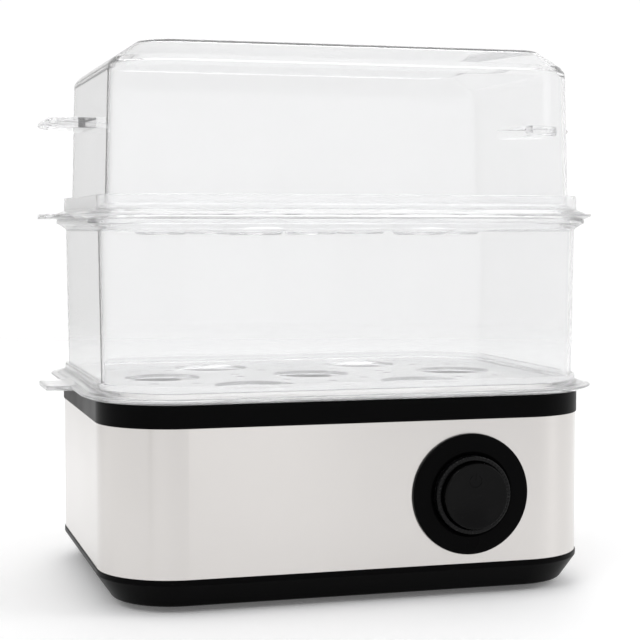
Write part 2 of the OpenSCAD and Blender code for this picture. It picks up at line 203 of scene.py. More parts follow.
def inside(point, loop):
    """Whether a point lies inside a closed loop of points."""
    x, y = point
    odd = False
    for a, b in zip(loop, loop[1:] + loop[:1]):
        if (a[1] > y) != (b[1] > y) and x < (b[0] - a[0]) * (y - a[1]) / (b[1] - a[1]) + a[0]:
            odd = not odd
    return odd


def web(bm, outer, holes=()):
    """Fills a flat area between an outer ring and the rings of its holes."""
    loops = [outer, *holes]
    verts, edges, shapes = [], [], []
    for loop in loops:
        first = len(verts)
        verts += loop
        edges += [(first + i, first + (i + 1) % len(loop)) for i in range(len(loop))]
        shapes.append([(v.co.x, v.co.y) for v in loop])
    flat = [Vector((v.co.x, v.co.y)) for v in verts]
    _, _, faces, origins, _, _ = delaunay_2d_cdt(flat, edges, [], 0, 1e-5)
    for face in faces:
        corner = [verts[origins[i][0]] for i in face]
        middle = (sum(v.co.x for v in corner) / 3, sum(v.co.y for v in corner) / 3)
        if inside(middle, shapes[0]) and not any(inside(middle, s) for s in shapes[1:]):
            bm.faces.new(corner)


def smooth(mesh):
    """Shades a mesh smooth, apart from edges with a turn of more than 35 degrees."""
    for face in mesh.polygons:
        face.use_smooth = True
    mesh.set_sharp_from_angle(angle=math.radians(35))


def to_object(bm, name):
    """Makes an object in metres from a mesh in millimetres, with smooth rounds and crisp edges."""
    bmesh.ops.remove_doubles(bm, verts=bm.verts, dist=1e-4)
    bmesh.ops.recalc_face_normals(bm, faces=bm.faces)
    bmesh.ops.scale(bm, vec=(MM, MM, MM), verts=bm.verts)
    mesh = bpy.data.meshes.new(name)
    bm.to_mesh(mesh)
    bm.free()
    smooth(mesh)
    piece = bpy.data.objects.new(name, mesh)
    SCENE.collection.objects.link(piece)
    return piece


def weigh_normals(piece):
    """Keeps flat faces flat beside their rounded edges."""
    weigh = piece.modifiers.new("weigh", "WEIGHTED_NORMAL")
    weigh.keep_sharp = True
    weigh.weight = 80


def combine(piece, other, how):
    """Applies a boolean with another object, which is then removed."""
    change = piece.modifiers.new("combine", "BOOLEAN")
    change.operation = how
    change.solver = "EXACT"
    change.object = other
    depsgraph = bpy.context.evaluated_depsgraph_get()
    mesh = bpy.data.meshes.new_from_object(piece.evaluated_get(depsgraph))
    piece.modifiers.remove(change)
    old = piece.data
    piece.data = mesh
    mesh.name = piece.name
    bpy.data.meshes.remove(old)
    bpy.data.objects.remove(other)
    smooth(mesh)


# ---------- material tools ----------

def new_material(name, colour, roughness, metallic=0.0, **sockets):
    """A material with its node tree and shader; other sockets are named with _ for a space."""
    material = bpy.data.materials.new(name)
    material.use_nodes = True
    shader = material.node_tree.nodes["Principled BSDF"]
    shader.inputs["Base Color"].default_value = (*colour, 1)
    shader.inputs["Roughness"].default_value = roughness
    shader.inputs["Metallic"].default_value = metallic
    for socket, value in sockets.items():
        shader.inputs[socket.replace("_", " ")].default_value = value
    return material, material.node_tree, shader


def place(nodes, scale):
    """The piece's own coordinates in metres, scaled along each axis."""
    coordinates = nodes.nodes.new("ShaderNodeTexCoord")
    mapping = nodes.nodes.new("ShaderNodeMapping")
    mapping.inputs["Scale"].default_value = scale
    nodes.links.new(coordinates.outputs["Object"], mapping.inputs["Vector"])
    return mapping.outputs["Vector"]


def noise(nodes, scale, detail=3.0, roughness=0.5, distortion=0.0):
    """Noise whose grain per metre may differ along each axis."""
    texture = nodes.nodes.new("ShaderNodeTexNoise")
    texture.inputs["Scale"].default_value = 1.0
    texture.inputs["Detail"].default_value = detail
    texture.inputs["Roughness"].default_value = roughness
    texture.inputs["Distortion"].default_value = distortion
    nodes.links.new(place(nodes, scale), texture.inputs["Vector"])
    return texture.outputs["Fac"]


def spread(nodes, value, low, high, start=0.3, end=0.7):
    """Turns a value between start and end into one between low and high."""
    ranged = nodes.nodes.new("ShaderNodeMapRange")
    ranged.inputs["From Min"].default_value = start
    ranged.inputs["From Max"].default_value = end
    ranged.inputs["To Min"].default_value = low
    ranged.inputs["To Max"].default_value = high
    nodes.links.new(value, ranged.inputs["Value"])
    return ranged.outputs["Result"]


def tones(nodes, value, low, high, start=0.3, end=0.7):
    """A colour between two tones that follows a value."""
    ramp = nodes.nodes.new("ShaderNodeValToRGB")
    ramp.color_ramp.elements[0].position = start
    ramp.color_ramp.elements[0].color = (*low, 1)
    ramp.color_ramp.elements[1].position = end
    ramp.color_ramp.elements[1].color = (*high, 1)
    nodes.links.new(value, ramp.inputs["Fac"])
    return ramp.outputs["Color"]


def bump(nodes, shader, height, strength, distance=0.0002):
    """Gives a shader the relief of a height, at most the distance in metres."""
    relief = nodes.nodes.new("ShaderNodeBump")
    relief.inputs["Strength"].default_value = strength
    relief.inputs["Distance"].default_value = distance
    nodes.links.new(height, relief.inputs["Height"])
    nodes.links.new(relief.outputs["Normal"], shader.inputs["Normal"])


def shade(colour, factor):
    """A colour made darker or lighter."""
    return tuple(min(c * factor, 1.0) for c in colour)


def moulded(name, colour, roughness, grain=1800, depth=0.12, variation=0.25, **sockets):
    """Moulded plastic or rubber: a fine grain, with slow changes of tone and gloss."""
    material, nodes, shader = new_material(name, colour, roughness, **sockets)
    slow = noise(nodes, (30, 30, 30), 4)
    fine = noise(nodes, (grain,) * 3, 2)
    tone = tones(nodes, slow, shade(colour, 1 - variation), shade(colour, 1 + variation))
    nodes.links.new(tone, shader.inputs["Base Color"])
    nodes.links.new(spread(nodes, slow, roughness * 0.85, roughness * 1.15), shader.inputs["Roughness"])
    bump(nodes, shader, fine, depth)
    return material


def brushed(name, colour, roughness, grain, depth=1.0, **sockets):
    """Metal with fine scratches that run along the axes whose grain is small."""
    material, nodes, shader = new_material(name, colour, roughness, 1.0, **sockets)
    lines = noise(nodes, grain, 4, 0.65)
    smudge = noise(nodes, (9, 9, 14), 3)
    tone = tones(nodes, lines, shade(colour, 1 - 0.05 * depth), shade(colour, 1 + 0.04 * depth))
    nodes.links.new(tone, shader.inputs["Base Color"])
    mixed = nodes.nodes.new("ShaderNodeMath")
    mixed.operation = "MULTIPLY"
    nodes.links.new(spread(nodes, lines, roughness * (1 - 0.2 * depth), roughness * (1 + 0.25 * depth)),
                    mixed.inputs[0])
    nodes.links.new(spread(nodes, smudge, 0.92, 1.1), mixed.inputs[1])
    nodes.links.new(mixed.outputs[0], shader.inputs["Roughness"])
    bump(nodes, shader, lines, 0.08 * depth, 0.0001)
    return material


def clear_plastic(name, tint, ior, clarity, glossy, dull):
    """Clear moulded plastic that lets lamps through, with faint flow marks in its gloss."""
    material, nodes, shader = new_material(name, tint, glossy, Transmission_Weight=clarity, IOR=ior)
    flow = noise(nodes, (14, 14, 5), 3, 0.5, 0.4)
    nodes.links.new(spread(nodes, flow, glossy, dull), shader.inputs["Roughness"])
    open_way = nodes.nodes.new("ShaderNodeBsdfTransparent")
    open_way.inputs["Color"].default_value = (*shade(tint, 0.97), 1)
    path = nodes.nodes.new("ShaderNodeLightPath")
    choose = nodes.nodes.new("ShaderNodeMixShader")
    nodes.links.new(path.outputs["Is Shadow Ray"], choose.inputs["Fac"])
    nodes.links.new(shader.outputs["BSDF"], choose.inputs[1])
    nodes.links.new(open_way.outputs["BSDF"], choose.inputs[2])
    output = next(n for n in nodes.nodes if n.type == "OUTPUT_MATERIAL")
    nodes.links.new(choose.outputs["Shader"], output.inputs["Surface"])
    return material


def smoky_plastic(name, colour):
    """Dark plastic that hardly lets light through, with slow clouds in it."""
    material, nodes, shader = new_material(name, colour, 0.22,
                                           Transmission_Weight=0.1, Specular_IOR_Level=0.1)
    cloud = noise(nodes, (160, 160, 160), 3)
    tone = tones(nodes, cloud, shade(colour, 0.8), shade(colour, 1.3))
    nodes.links.new(tone, shader.inputs["Base Color"])
    nodes.links.new(spread(nodes, cloud, 0.16, 0.3), shader.inputs["Roughness"])
    bump(nodes, shader, cloud, 0.05)
    return material


def ceramic(name, colour):
    """Dull fired ceramic with fine specks."""
    material, nodes, shader = new_material(name, colour, 0.7)
    speck = noise(nodes, (900, 900, 900), 5, 0.7)
    tone = tones(nodes, speck, shade(colour, 0.82), colour, 0.35, 0.5)
    nodes.links.new(tone, shader.inputs["Base Color"])
    bump(nodes, shader, speck, 0.25)
    return material


def circuit_board(name, colour):
    """A lacquered board with fine tracks."""
    material, nodes, shader = new_material(name, colour, 0.35)
    tracks = nodes.nodes.new("ShaderNodeTexBrick")
    tracks.inputs["Scale"].default_value = 1.0
    tracks.inputs["Color1"].default_value = (*colour, 1)
    tracks.inputs["Color2"].default_value = (*shade(colour, 1.2), 1)
    tracks.inputs["Mortar"].default_value = (*shade(colour, 0.6), 1)
    nodes.links.new(place(nodes, (400, 400, 400)), tracks.inputs["Vector"])
    nodes.links.new(tracks.outputs["Color"], shader.inputs["Base Color"])
    bump(nodes, shader, tracks.outputs["Fac"], 0.1)
    return material


MATERIALS = {
    "black_plastic": moulded("satin_black", (0.001, 0.001, 0.0011), 0.32, 900, 0.03, 0.1,
                             Specular_IOR_Level=0.035),
    "gloss_black": moulded("gloss_black", (0.0014, 0.0014, 0.0015), 0.3, depth=0.02, variation=0.1,
                          Specular_IOR_Level=0.03),
    "brushed_wrap": brushed("brushed_steel", (0.672, 0.65, 0.63), 0.24, (5, 5, 3200), 0.3,
                            Anisotropic=0.8, Anisotropic_Rotation=0.25),
    "plate_steel": brushed("plate_steel", (0.80, 0.79, 0.78), 0.34, (60, 60, 900)),
    "zinc_steel": brushed("zinc_steel", (0.62, 0.63, 0.65), 0.38, (700, 700, 700)),
    "sheath_steel": brushed("sheath_steel", (0.33, 0.30, 0.27), 0.5, (300, 300, 300)),
    "cast_aluminium": brushed("cast_aluminium", (0.70, 0.71, 0.72), 0.5, (500, 500, 500)),
    "red_silicone": moulded("red_silicone", (0.36, 0.07, 0.04), 0.6, 900),
    "dark_rubber": moulded("dark_rubber", (0.018, 0.018, 0.02), 0.7, 1200, 0.3),
    "white_ceramic": ceramic("white_ceramic", (0.82, 0.79, 0.7)),
    "green_board": circuit_board("green_board", (0.03, 0.14, 0.05)),
    "lead_sleeving": moulded("lead_sleeving", (0.10, 0.06, 0.045), 0.55, 2500),
    "smoky_plastic": smoky_plastic("smoky_plastic", (0.003, 0.003, 0.0032)),
    "switch_grey": moulded("switch_grey", (0.03, 0.033, 0.038), 0.5),
    "natural_nylon": moulded("natural_nylon", (0.84, 0.81, 0.72), 0.45, variation=0.06),
    "clear_plastic": clear_plastic("clear_plastic", (0.938, 0.939, 0.941), 1.2, 0.93, 0.01, 0.04),
}
TRAY_CLEAR = clear_plastic("tray_plastic", (0.957, 0.958, 0.959), 1.27, 0.84, 0.06, 0.12)
BUTTON_BLACK = moulded("button_black", (0.001, 0.001, 0.0011), 0.22, 900, 0.02, 0.1,
                       Specular_IOR_Level=0.1)
SLOTS = {s["node"]: s["material_slot"] for s in frame["record"]["subparts"]}
for node, cad in frame["nodes"].items():
    cad.data.materials.clear()
    cad.data.materials.append(MATERIALS[SLOTS[node]])


# ---------- pieces that stand for nodes ----------

def stand_for(piece, material, body, node):
    """Gives a piece its material in one slot and its body, and hides the CAD node that it stands for."""
    weigh_normals(piece)
    piece.data.materials.clear()
    piece.data.materials.append(material)
    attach(piece, body)
    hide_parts(node)
    return piece


def as_node(piece, body, node):
    """Makes a piece stand for a CAD node with that node's own finish."""
    return stand_for(piece, MATERIALS[SLOTS[node]], body, node)


# ---------- clear parts ----------

def egg_seat(floor, under):
    """Profile of a seat: from the floor's top, down its cup, through its drain and back up outside."""
    seat_r, cup_r, depth, shell, drain_r = 19.5, 12.0, 10.0, 1.5, 4.0
    low = floor - depth
    slope = (seat_r - cup_r) / depth
    outer_r = cup_r + 0.6
    return rounded([
        (seat_r + 3, floor, 0), (seat_r, floor, 1.2), (cup_r, low, 2.0), (drain_r, low, 0.4),
        (drain_r, low - shell, 0.4), (outer_r, low - shell, 1.6),
        (outer_r + slope * (under - low + shell), under, 1.2), (seat_r + 3.5, under, 0),
    ])


def tab_share(grow, z, tip):
    """How much of the tab's reach a profile point takes: all of it at the tip, none near the rim."""
    root, top = 2.4, 3.3
    if grow < root or z > top:
        return 0.0
    return min(max((grow - root) / (tip - root), 0.0), 1.0)


def tab_drop(z):
    """How far a point on the flange's underside drops at the tab, which is nearly flat below."""
    return max(z - 0.15, 0) * 0.9 if z < 2.1 else 0


def egg_tray(name, node, body, base_z, rim_h):
    """A clear egg tray: a flange with two tabs, a rim, a locating skirt, and a floor with open seats."""
    bm = bmesh.new()
    floor, under, rim_out, rim_in, skirt_out, skirt_in = 4.0, 2.0, -1.0, -2.6, -4.6, -6.5
    flange, tip, skirt_low = 2.6, 6.5, -4
    path = rounded([
        (rim_in - 4, floor, 0), (rim_in, floor, 0.8), (rim_in, rim_h, 0.7), (rim_out, rim_h, 0.7),
        (rim_out, 4.8, 1.2), (flange, 3.5, 1.0), (flange + 1, 2.7, 0.5), (tip, 2.6, 0.45),
        (tip, 1.7, 0.45), (flange, 0, 0.8), (skirt_out, 0, 0.5), (skirt_out, skirt_low, 0.6),
        (skirt_in, skirt_low, 0.6), (skirt_in, under, 0.8), (skirt_in - 3, under, 0),
    ])
    profile = [(g, base_z + z, tab_share(g, z, tip), tab_drop(z)) for g, z in path]
    rings = carry(bm, profile, outline_stations(tab_stops()), REACH - HALF_W - tip)
    seat = [(r, base_z + z) for r, z in egg_seat(floor, under)]
    vent_r, ease = 2.0, 0.35
    vent = [(vent_r + ease, base_z + floor), (vent_r, base_z + floor - ease),
            (vent_r, base_z + under + ease), (vent_r + ease, base_z + under)]
    tops, bottoms = [], []
    for places, cut, steps in ((SEATS, seat, 72), (VENTS, vent, 24)):
        for place_xy in places:
            hole = turn(bm, cut, place_xy, steps)
            tops.append(hole[0])
            bottoms.append(hole[-1])
    web(bm, rings[0], tops)
    web(bm, rings[-1], bottoms)
    stand_for(to_object(bm, name), TRAY_CLEAR, body, node)


def middle_sleeve():
    """The clear wall of the lower tier, which leans out a little and ends in an outward lip."""
    bm = bmesh.new()
    bottom, top = SLEEVE_LO.z, SLEEVE_HI.z
    foot, neck, lip = -2.95, -1.9, 3.0
    profile = rounded([
        (foot, bottom, 0.7), (neck, top - 4.8, 2.0), (lip - 0.8, top - 2.2, 0.5), (lip, top - 1.9, 0.5),
        (lip, top, 0.6), (neck - WALL, top, 1.2), (foot - WALL, bottom, 0.7),
    ], closed=True)
    rings = carry(bm, profile, outline_stations())
    bridge(bm, rings[-1], rings[0])
    as_node(to_object(bm, "clear_sleeve"), "sleeve", "middle_sleeve")


def side_handle(side, z0, z1, root_x, root, tip):
    """A tapered grip with a sloped nose and eased edges, as an object."""
    bm = bmesh.new()
    points = []
    for z, short in ((z0, 3.0), (z0 + 2, 0.0), (z1 - 2, 0.0), (z1, 2.0)):
        end = REACH - short
        for y in (-1, 1):
            points += [(side * root_x, y * root, z), (side * (end - 2.5), y * tip, z),
                       (side * end, y * (tip - 3), z)]
    ring_of(bm, points)
    bmesh.ops.convex_hull(bm, input=bm.verts)
    bmesh.ops.dissolve_limit(bm, angle_limit=0.02, verts=bm.verts, edges=bm.edges)
    bmesh.ops.bevel(bm, geom=list(bm.edges), offset=0.5, segments=3, affect="EDGES", profile=0.5)
    return to_object(bm, "grip")


def lid():
    """The clear lid: leaning walls with a stepped foot, a chamfered shoulder and two side handles."""
    bm = bmesh.new()
    bottom, top = LID_LO.z, LID_HI.z
    shoulder = top - 12
    crown = -30
    rings = carry(bm, rounded([
        (crown, top, 0), (-21, top, 3.0), (-9.4, shoulder + 4.2, 1.6), (-7.2, shoulder + 1.6, 2.2),
        (-6.9, shoulder - 1, 3.0), (-5.2, bottom + 3.2, 1.2), (-3.2, bottom + 2.4, 0.5),
        (-3.2, bottom, 0.6), (-5.2 - WALL, bottom, 0.6), (-6.9 - WALL, shoulder - 1, 2.0),
        (-9.6, shoulder + 1.2, 1.5), (-21.6, top - WALL, 2.5), (crown, top - WALL, 0),
    ]), outline_stations())
    bm.faces.new(rings[0])
    bm.faces.new(rings[-1])
    cover = to_object(bm, "clear_lid")
    grip_z, grip_h, wall_x, root, tip = bottom + 40, 5, HALF_W - 7.4, 25, 16
    for side in (-1, 1):
        combine(cover, side_handle(side, grip_z, grip_z + grip_h, wall_x, root, tip), "UNION")
    as_node(cover, "lid", "lid")


LOWER_RIM = box_mm("lower_egg_tray")[1].z - BAND_TOP
UPPER_RIM = box_mm("upper_egg_tray")[1].z - SLEEVE_HI.z
egg_tray("clear_lower_tray", "lower_egg_tray", "lower_tray", BAND_TOP, LOWER_RIM)
egg_tray("clear_upper_tray", "upper_egg_tray", "upper_tray", SLEEVE_HI.z, UPPER_RIM)
middle_sleeve()
lid()


# ---------- base ----------

def slot(bm, x, half_w, half_l, z0, z1, steps=6):
    """A solid slot shape along Y with rounded ends, between two heights."""
    rings = []
    for z in (z0, z1):
        points = []
        for end in (1, -1):
            for k in range(steps + 1):
                a = math.pi * k / steps
                y = half_l - half_w + half_w * math.sin(a)
                points.append((x + end * half_w * math.cos(a), end * y, z))
        rings.append(ring_of(bm, points))
    bridge(bm, *rings)
    bm.faces.new(rings[0])
    bm.faces.new(rings[1])


def corners_of(place_xy):
    """The four places that mirror one place across both middle planes."""
    return [(i * place_xy[0], j * place_xy[1]) for i in (-1, 1) for j in (-1, 1)]


# Places of the screw posts (on the corners' diagonals), the rubber feet and the plate's studs
POST_IN = 22 * math.cos(math.radians(45))
POST = (CORNER_X + POST_IN, CORNER_Y + POST_IN)
FOOT = (70.0, 60.0)
STUD = (HALF_W - 8.4, 30.0)


def base_pan():
    """The bottom pan: a rounded bottom edge, a lip inside the steel, screw bosses and air slots."""
    bm = bmesh.new()
    lo, hi = box_mm("base_pan")
    bottom, inner = lo.z, lo.z + 2.5
    rim = WRAP_LO.z
    middle, lip_out, lip_in = -18, -1.75, -3.3
    rings = carry(bm, rounded([
        (middle, bottom, 0), (-8, bottom, 3), (0, rim - 2.5, 1.2), (0, rim, 0.6), (lip_out, rim, 0),
        (lip_out, hi.z, 0.4), (lip_in, hi.z, 0.4), (lip_in, rim - 2.2, 1.5), (-9.3, inner, 3),
        (middle, inner, 0),
    ]), outline_stations())
    bm.faces.new(rings[0])
    bm.faces.new(rings[-1])
    pan = to_object(bm, "bottom_pan")
    boss_r, boss_low, boss_top = 5.5, bottom + 2.4, bottom + 7
    head_r, shank_r, peg_r, seat = 3.6, 1.7, 2.6, bottom + 4
    below = bottom - 1
    bosses, drills = bmesh.new(), bmesh.new()
    for place_xy in corners_of(POST):
        turn(bosses, rounded([(0, boss_low, 0), (boss_r, boss_low, 0), (boss_r, boss_top, 0.5),
                              (0, boss_top, 0)]), place_xy, 40)
        turn(drills, [(0, below), (head_r, below), (head_r, seat), (shank_r, seat),
                      (shank_r, boss_top + 1), (0, boss_top + 1)], place_xy, 40)
    for place_xy in corners_of(FOOT):
        turn(drills, [(0, below), (peg_r, below), (peg_r, seat), (0, seat)], place_xy, 32)
    slot_pitch, slot_half_w, slot_half_l = 9, 1.5, 23
    for i in range(-3, 4):
        slot(drills, i * slot_pitch, slot_half_w, slot_half_l, below, inner + 1)
    combine(pan, to_object(bosses, "bosses"), "UNION")
    combine(pan, to_object(drills, "drills"), "DIFFERENCE")
    as_node(pan, "base", "base_pan")


def top_frame():
    """The black band round the top, with the shelf and posts that carry the heating plate."""
    bm = bmesh.new()
    seam, shelf = WRAP_HI.z, WRAP_HI.z - 0.4
    wall, shelf_in, behind_wrap = -3.2, -18, -1.7
    profile = rounded([
        (0, seam, 0.4), (0, BAND_TOP, 1.4), (wall, BAND_TOP, 0.9), (wall, shelf, 0.8),
        (shelf_in, shelf, 0.4), (shelf_in, shelf - 3, 0.4), (behind_wrap, shelf - 3.1, 0.3),
        (behind_wrap, seam, 0),
    ], closed=True)
    rings = carry(bm, profile, outline_stations())
    bridge(bm, rings[-1], rings[0])
    band = to_object(bm, "black_band")
    foot, pilot, pilot_r, post_r, top = BAND_LO.z, BAND_LO.z + 15, 1.6, 5, shelf - 2
    stud_r = 1.9
    posts, drills = bmesh.new(), bmesh.new()
    for place_xy in corners_of(POST):
        turn(posts, [(0, pilot), (pilot_r, pilot), (pilot_r, foot), (post_r, foot), (post_r, top),
                     (0, top)], place_xy, 32)
    for place_xy in corners_of(STUD):
        turn(drills, [(0, shelf - 5), (stud_r, shelf - 5), (stud_r, shelf + 2), (0, shelf + 2)],
             place_xy, 24)
    combine(band, to_object(posts, "posts"), "UNION")
    combine(band, to_object(drills, "drills"), "DIFFERENCE")
    as_node(band, "base", "top_frame")


def heating_plate():
    """The pressed steel plate with its round water well and turned-up rim."""
    bm = bmesh.new()
    lo, hi = box_mm("heating_plate")
    sheet = 0.8
    well_r, stud_r = 50.0, 1.6
    under = hi.z - 3
    deck, well_floor = under + sheet, lo.z + sheet
    rim = HALF_W - hi.x
    rings = carry(bm, rounded([
        (-rim - 6, deck, 0), (-rim - sheet, deck, 1.4), (-rim - sheet, hi.z, 0.35), (-rim, hi.z, 0.35),
        (-rim, under, 1.8), (-rim - 6, under, 0),
    ]), outline_stations())
    top = turn(bm, rounded([(well_r + 4, deck, 0), (well_r, deck, 2.2), (well_r, well_floor, 2.6),
                            (0, well_floor, 0)]), steps=96)
    low = turn(bm, rounded([(0, lo.z, 0), (well_r + sheet, lo.z, 3.2), (well_r + sheet, under, 1.5),
                            (well_r + 4, under, 0)]), steps=96)
    web(bm, rings[0], [top[0]])
    web(bm, rings[-1], [low[-1]])
    for place_xy in corners_of(STUD):
        turn(bm, [(0, lo.z), (stud_r, lo.z), (stud_r, under + 0.2), (0, under + 0.2)], place_xy, 24)
    as_node(to_object(bm, "hot_plate"), "base", "heating_plate")


base_pan()
top_frame()
heating_plate()


# ---------- control and cord entry ----------

def lathe_piece(name, profile, axis, body, node, steps=128, shape=None):
    """A turned piece on an axis given as a matrix; its profile of (radius, along) closes on itself.

    A shape function may change the mesh before it is placed.
    """
    bm = bmesh.new()
    rings = turn(bm, profile, steps=steps)
    bridge(bm, rings[-1], rings[0])
    if shape:
        shape(bm)
    bm.transform(axis)
    as_node(to_object(bm, name), body, node)


def outward(x, y, z, side):
    """A matrix that turns +Z to run out of the front (side -1) or the back (side 1) at a point."""
    return Matrix.Translation((x, y, z)) @ Matrix.Rotation(-side * math.radians(90), 4, "X")


CAP_LO, CAP_HI = box_mm("button_cap")
CONTROL = outward((CAP_LO.x + CAP_HI.x) / 2, WRAP_LO.y, (CAP_LO.z + CAP_HI.z) / 2, -1)
BUTTON_R = (CAP_HI.x - CAP_LO.x) / 2
BUTTON_OUT = WRAP_LO.y - CAP_LO.y
SKIRT = CAP_HI.y - WRAP_LO.y
CAP_ROOF = BUTTON_OUT - 2.6
RING_FLANGE = 1.7
RING_R = (box_mm("light_ring")[1].x - box_mm("light_ring")[0].x) / 2 - RING_FLANGE
BEZEL_R = (box_mm("control_bezel")[1].x - box_mm("control_bezel")[0].x) / 2
SOCKET_BACK = -14
DISH_R, DISH = 90.0, 1.2


def dish_height(r):
    """How far the button's dished face stands out at a distance from its middle."""
    return BUTTON_OUT - DISH + DISH_R - math.sqrt(DISH_R**2 - r**2)


def control_bezel():
    """The black disc on the steel, with its barrel through the wall."""
    bore, barrel_r, face = RING_R + 0.3, 24.6, 2
    lathe_piece("bezel", rounded([
        (bore, SOCKET_BACK, 0.3), (barrel_r, SOCKET_BACK, 0.4), (barrel_r, 0, 0), (BEZEL_R, 0, 0.2),
        (BEZEL_R, face, 0.9), (bore + 1.4, face, 0.6), (bore, 1.2, 0.3),
    ], closed=True), CONTROL, "base", "control_bezel")


def light_ring():
    """The smoky ring, with fine ribs across its front face."""
    ribs, rib_depth, steps = 60, 0.16, 480
    inner, front, flange_r, flange = RING_R - 2.45, 5.6, RING_R + RING_FLANGE, -12.2

    def add_ribs(bm):
        for v in bm.verts:
            if v.co.z > front - 1.2:
                v.co.z -= rib_depth * (0.5 + 0.5 * math.cos(ribs * math.atan2(v.co.y, v.co.x)))

    lathe_piece("smoky_ring", rounded([
        (inner, SOCKET_BACK, 0), (flange_r, SOCKET_BACK, 0), (flange_r, flange, 0.2), (RING_R, flange, 0),
        (RING_R, front, 0.9), (inner, front, 0.6),
    ], closed=True), CONTROL, "base", "light_ring", steps, add_ribs)


def tube(bm, points, radius, sides=8):
    """A round bar through points, with closed ends."""
    rings = []
    for i, p in enumerate(points):
        along = (points[min(i + 1, len(points) - 1)] - points[max(i - 1, 0)]).normalized()
        across = along.cross(Vector((0, 0, 1))).normalized()
        up = across.cross(along)
        ring = []
        for k in range(sides):
            a = math.tau * k / sides
            ring.append(p + (across * math.cos(a) + up * math.sin(a)) * radius)
        rings.append(ring_of(bm, ring))
    for a, b in zip(rings, rings[1:]):
        bridge(bm, a, b)
    bm.faces.new(rings[0])
    bm.faces.new(rings[-1])


def power_sign(bm):
    """A raised on-and-off sign on the dished face of the button."""
    size, high, wire = 3.0, 7.2, 0.28

    def on_face(x, y):
        return Vector((x, y, dish_height(math.hypot(x, y))))

    gap = math.radians(35)
    arc = [math.pi / 2 + gap + (math.tau - 2 * gap) * k / 36 for k in range(37)]
    tube(bm, [on_face(size * math.cos(a), high + size * math.sin(a)) for a in arc], wire)
    tube(bm, [on_face(0, high + size * (0.15 + k / 6)) for k in range(7)], wire)


def button_cap():
    """The push button: a dished face with an eased edge, a skirt and the stem that presses the switch."""
    bm = bmesh.new()
    edge_r, inner_r, stem_r, stem_end = BUTTON_R - 0.9, BUTTON_R - 1.6, 4.2, -2
    face = [(edge_r * k / 16, dish_height(edge_r * k / 16)) for k in range(16)]
    edge = rounded([
        (edge_r - 0.5, dish_height(edge_r - 0.5), 0), (BUTTON_R - 0.35, BUTTON_OUT, 0.5),
        (BUTTON_R, BUTTON_OUT - 0.9, 0.6), (BUTTON_R, -SKIRT, 0.3), (inner_r, -SKIRT, 0.3),
        (inner_r, CAP_ROOF, 0.8), (stem_r, CAP_ROOF, 0.5), (stem_r, stem_end, 0.3), (0, stem_end, 0),
    ])
    turn(bm, face + edge[1:], steps=128)
    power_sign(bm)
    bm.transform(CONTROL)
    stand_for(to_object(bm, "push_button"), BUTTON_BLACK, "button", "button_cap")


def return_spring():
    """The coil behind the button, with closed ends, built at one length."""
    bm = bmesh.new()
    wire, radius, turns, closed, steps = 0.5, 7.0, 8, 1.05, 24
    seat, gap, travel = -15.6, 0.05, 3
    low = seat + wire + gap
    rise = CAP_ROOF - wire - gap - low
    points = []
    for k in range(turns * steps + 1):
        n = k / steps
        a = math.tau * n
        along = closed + (rise - 2 * closed) * (n - 1) / (turns - 2)
        along = min(max(along, closed * min(n, 1)), rise - closed * min(turns - n, 1))
        points.append(Vector((radius * math.cos(a), radius * math.sin(a), low + along)))
    tube(bm, points, wire, 10)
    bm.transform(CONTROL)
    spring = as_node(to_object(bm, "button_spring"), "base", "return_spring")
    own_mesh(spring)


def cord_gland():
    """The grommet in the back wall that the cord leaves through."""
    lo, hi = box_mm("cord_gland")
    axis = outward((lo.x + hi.x) / 2, WRAP_HI.y, (lo.z + hi.z) / 2, 1)
    out = hi.y - WRAP_HI.y
    hole, neck, nut, collar, back = 3.3, 5.2, 7.4, 8, -12
    ribs = []
    for k in range(3):
        start, thinner = 2.6 + 2.0 * k, 0.3 * k
        ribs += [(6.0 - thinner, start, 0.2), (6.0 - thinner, start + 1.1, 0.2),
                 (5.3 - thinner, start + 1.2, 0.1), (5.2 - thinner, start + 1.9, 0.1)]
    lathe_piece("cord_grommet", rounded([
        (hole, back, 0.3), (neck, back, 0.4), (neck, -3.8, 0), (nut, -3.8, 0.3), (nut, -0.8, 0),
        (neck, -0.8, 0), (neck, 0, 0), (collar, 0, 0.3), (collar, 2, 0.8), *ribs, (5.0, out, 0.6),
        (hole, out, 0.4),
    ], closed=True), axis, "base", "cord_gland", 64)


control_bezel()
light_ring()
button_cap()
return_spring()
cord_gland()


# ---------- stage, lights and camera ----------

# Sockets of a colour Mix node
MIX_A, MIX_B, MIX_RESULT = 6, 7, 2


def floor_material():
    """A pale floor that fades into the bright surroundings away from the object."""
    material, nodes, shader = new_material("pale_floor", (0.93, 0.93, 0.93), 0.6, Specular_IOR_Level=0.1)
    slow = noise(nodes, (3, 3, 3), 2)
    tone = tones(nodes, slow, (0.92, 0.92, 0.92), (0.95, 0.95, 0.95))
    nodes.links.new(tone, shader.inputs["Base Color"])
    distance = nodes.nodes.new("ShaderNodeVectorMath")
    distance.operation = "LENGTH"
    nodes.links.new(place(nodes, (1, 1, 1)), distance.inputs[0])
    nodes.links.new(spread(nodes, distance.outputs["Value"], 1, 0, 0.5, 2.2), shader.inputs["Alpha"])
    shader.inputs["Emission Color"].default_value = (1, 1, 1, 1)
    shader.inputs["Emission Strength"].default_value = 0.1
    return material


def stage():
    """A round floor far wider than the object."""
    bm = bmesh.new()
    bmesh.ops.create_circle(bm, cap_ends=True, radius=2400, segments=96)
    ground = to_object(bm, "floor")
    ground.data.materials.append(floor_material())


